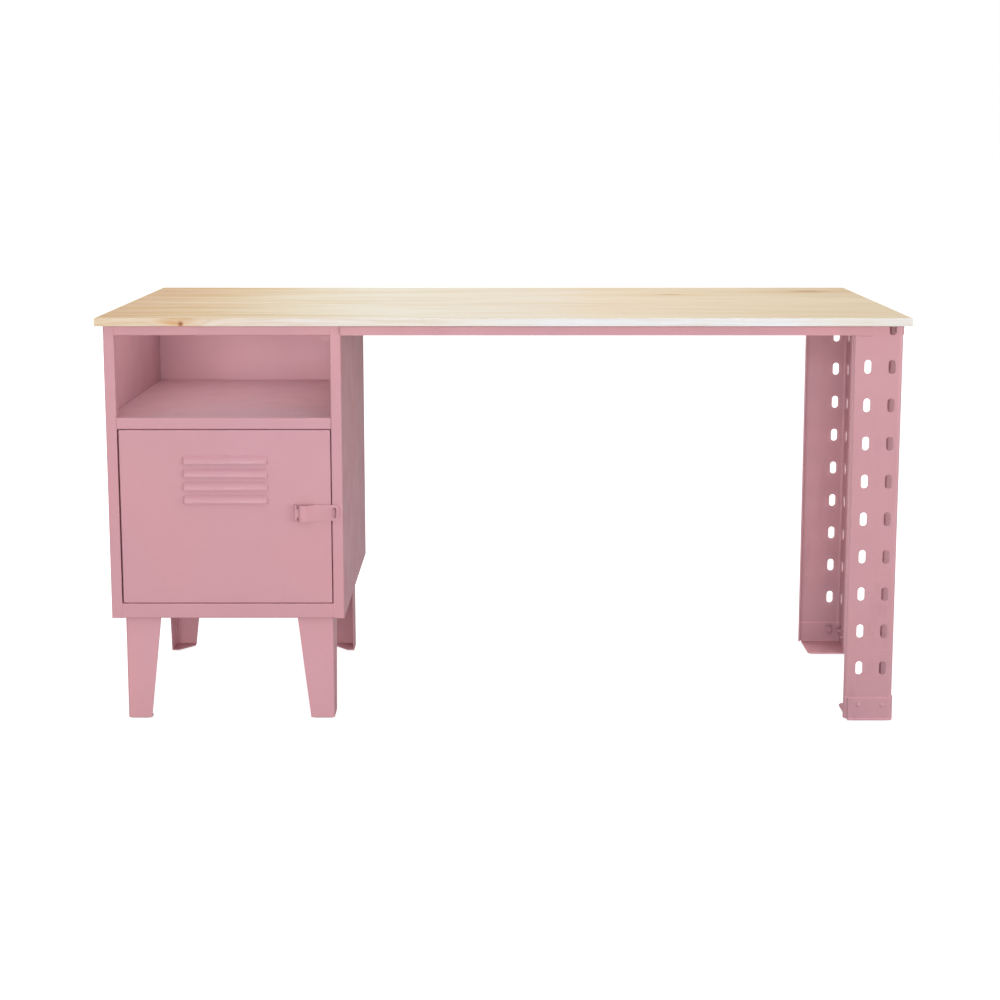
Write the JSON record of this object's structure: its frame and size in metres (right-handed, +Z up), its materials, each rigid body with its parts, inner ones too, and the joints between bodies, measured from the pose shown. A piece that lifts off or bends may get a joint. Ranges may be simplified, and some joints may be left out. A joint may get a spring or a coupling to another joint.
{
  "type": "locker desk",
  "caption": "Writing desk with a pine top on a steel locker with an open niche and louvred, hasped door at the left and slotted angle legs at the right.",
  "frame": {"origin": "on the floor, under the centre of the worktop", "axes": "+X to the right of a person facing the desk's front, +Y away from that person, +Z up"},
  "size_m": [1.48, 0.6, 0.762],
  "materials": {
    "pine": "matt lacquered pine, grain along X",
    "pink_powder_coat": "dusty pink powder coat, satin, with a fine orange-peel texture",
    "zinc_plated_steel": "bright zinc plating",
    "grey_nylon": "matt",
    "clear_rubber": "soft, translucent",
    "ferrite_magnet": "matt ceramic"
  },
  "bodies": {
    "desk": {"back_rail": "pink_powder_coat", "catch_body": "grey_nylon", "catch_magnet": "ferrite_magnet", "catch_screws": "zinc_plated_steel", "corner_bracket_back": "pink_powder_coat", "corner_bracket_front": "pink_powder_coat", "cross_rail": "pink_powder_coat", "door_bumpers": "clear_rubber", "door_stop": "pink_powder_coat", "foot_shoe_back": "pink_powder_coat", "foot_shoe_bolts": "pink_powder_coat", "foot_shoe_front": "pink_powder_coat", "foot_shoe_nuts": "pink_powder_coat", "front_rail": "pink_powder_coat", "hinge_pin_bottom": "zinc_plated_steel", "hinge_pin_top": "zinc_plated_steel", "locker_back": "pink_powder_coat", "locker_back_screws": "zinc_plated_steel", "locker_floor": "pink_powder_coat", "locker_leg_back_left": "pink_powder_coat", "locker_leg_back_right": "pink_powder_coat", "locker_leg_bolts": "zinc_plated_steel", "locker_leg_front_left": "pink_powder_coat", "locker_leg_front_right": "pink_powder_coat", "locker_leg_glides": "grey_nylon", "locker_leg_nuts": "zinc_plated_steel", "locker_side_left": "pink_powder_coat", "locker_side_right": "pink_powder_coat", "locker_top": "pink_powder_coat", "niche_shelf": "pink_powder_coat", "rail_bolts": "pink_powder_coat", "rail_nuts": "zinc_plated_steel", "rail_to_locker_bolts": "zinc_plated_steel", "rail_to_locker_nuts": "zinc_plated_steel", "side_rail": "pink_powder_coat", "slotted_leg_back": "pink_powder_coat", "slotted_leg_front": "pink_powder_coat", "slotted_leg_glides": "grey_nylon", "staple": "pink_powder_coat", "worktop": "pine", "worktop_screws": "zinc_plated_steel"},
    "door": {"door_leaf": "pink_powder_coat", "door_stiffener": "pink_powder_coat", "hinge_bush_top": "grey_nylon", "hinge_bush_bottom": "grey_nylon", "hasp_base": "pink_powder_coat", "hasp_pin": "pink_powder_coat", "hasp_rivets": "pink_powder_coat", "catch_strike": "zinc_plated_steel"},
    "hasp": {"hasp_strap": "pink_powder_coat"}
  },
  "joints": [
    {"name": "door_hinge", "type": "hinge", "parent": "desk", "child": "door", "pos_m": [-0.699, -0.2785, 0.391], "axis": [0, 0, -1], "range_deg": [0, 110]},
    {"name": "hasp_hinge", "type": "hinge", "parent": "door", "child": "hasp", "pos_m": [-0.382, -0.2895, 0.4], "axis": [0, 0, -1], "range_deg": [0, 150]}
  ]
}
